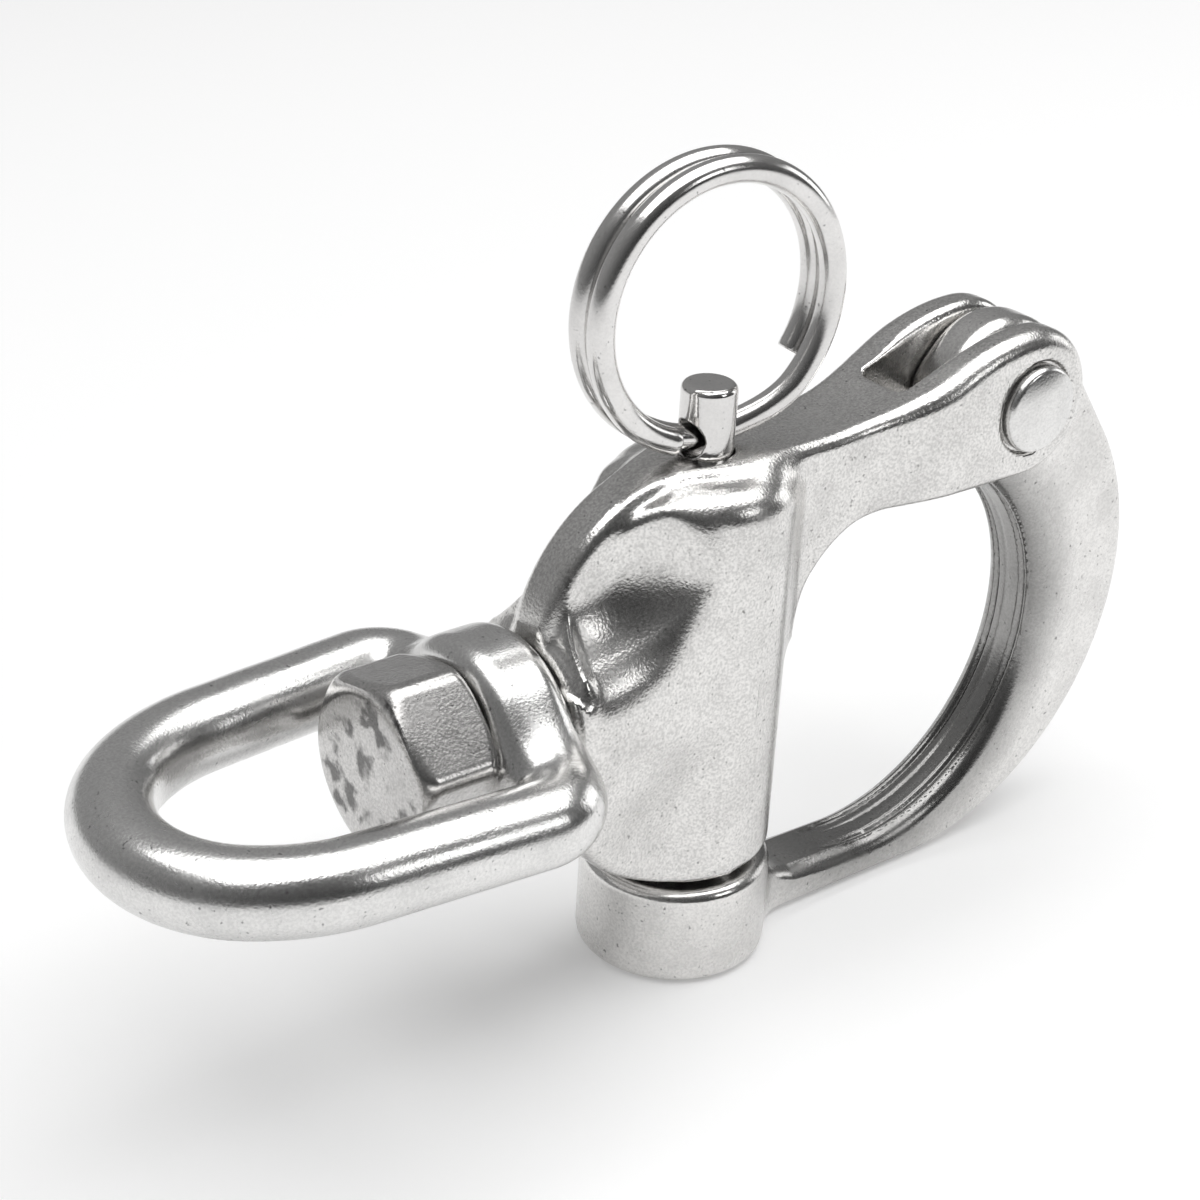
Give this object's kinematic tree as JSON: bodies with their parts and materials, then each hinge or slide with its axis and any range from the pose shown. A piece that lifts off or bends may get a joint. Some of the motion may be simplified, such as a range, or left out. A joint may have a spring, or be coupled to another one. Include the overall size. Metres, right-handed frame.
{
  "type": "snap shackle",
  "caption": "Swivel-eye snap shackle with a hinged gate held shut by a spring plunger, released by pulling a split ring.",
  "frame": {"origin": "the bearing point inside the crown of the swivel eye, on the swivel axis", "axes": "+X along the swivel axis from the eye towards the jaw, +Z along the plunger towards its ring, +Y across the jaw along the gate's hinge"},
  "size_m": [0.0875, 0.0266, 0.0586],
  "materials": {
    "cast_body": "investment-cast stainless steel, tumbled and polished",
    "cast_gate": "investment-cast stainless steel, tumbled and polished",
    "rivet": "stainless steel, peened and polished",
    "plunger": "turned stainless steel, polished",
    "spring_wire": "drawn stainless spring wire",
    "ring_wire": "drawn stainless wire, polished",
    "eye": "forged stainless steel, polished",
    "bolt": "forged stainless steel, the face of the head left mottled"
  },
  "bodies": {
    "casting": {"casting": "cast_body", "swivel_bolt": "bolt", "hinge_rivet": "rivet", "plunger_spring": "spring_wire"},
    "eye": {"swivel_eye": "eye"},
    "gate": {"gate": "cast_gate"},
    "plunger": {"plunger": "plunger"},
    "ring": {"split_ring": "ring_wire"}
  },
  "joints": [
    {"name": "eye_swivel", "type": "hinge", "parent": "casting", "child": "eye", "pos_m": [0.0231, 0, 0], "axis": [1, 0, 0], "continuous": true},
    {"name": "gate_hinge", "type": "hinge", "parent": "casting", "child": "gate", "pos_m": [0.0667, 0, 0.015], "axis": [0, -1, 0], "range_deg": [0, 90]},
    {"name": "plunger_slide", "type": "slide", "parent": "casting", "child": "plunger", "axis": [0, 0, 1], "range_m": [0, 0.005], "stiffness_N_per_m": 500, "springref_m": -0.01, "deforming": ["plunger_spring"]},
    {"name": "ring_swing", "type": "hinge", "parent": "plunger", "child": "ring", "pos_m": [0.0404, 0, 0.01715], "axis": [1, 0, 0], "range_deg": [-45, 45]}
  ]
}
